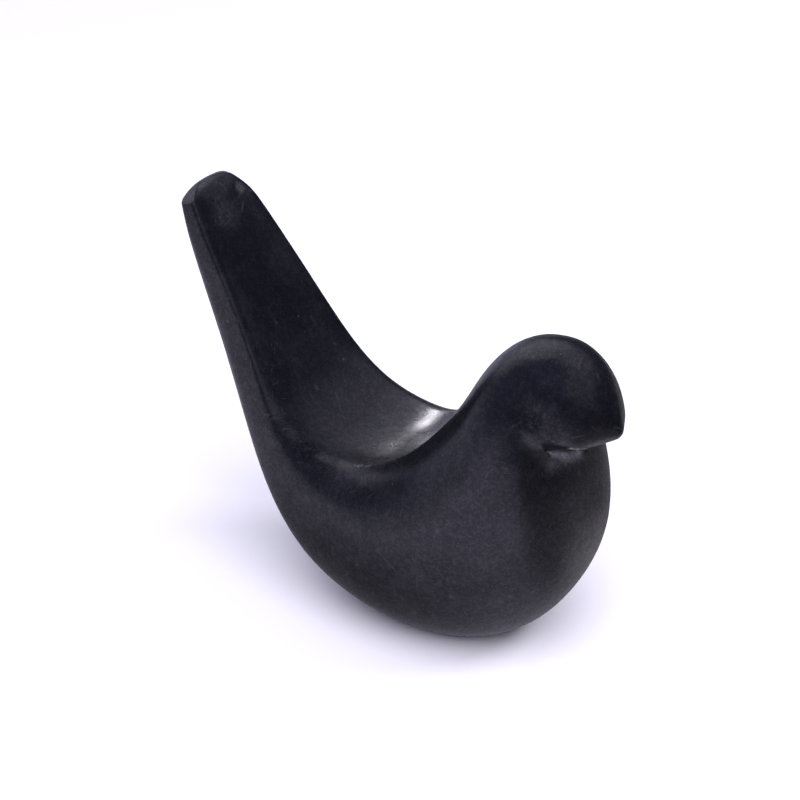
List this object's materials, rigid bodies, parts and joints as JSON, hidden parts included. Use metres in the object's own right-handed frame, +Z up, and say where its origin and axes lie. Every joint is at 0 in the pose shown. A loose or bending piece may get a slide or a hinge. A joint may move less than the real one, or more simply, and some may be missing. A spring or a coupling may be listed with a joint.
{
  "type": "marble bird statue",
  "caption": "Carved black marble bird with an upswept tail, hollowed back and rounded beak, resting on a small flat of its belly.",
  "frame": {"origin": "on the ground under the widest section, in the flat that the belly rests on", "axes": "+X to the beak, +Y to the bird's left, +Z up"},
  "size_m": [0.1792, 0.078, 0.1366],
  "materials": {
    "black_marble": "satin"
  },
  "bodies": {
    "root": {"bird": "black_marble"}
  },
  "joints": []
}
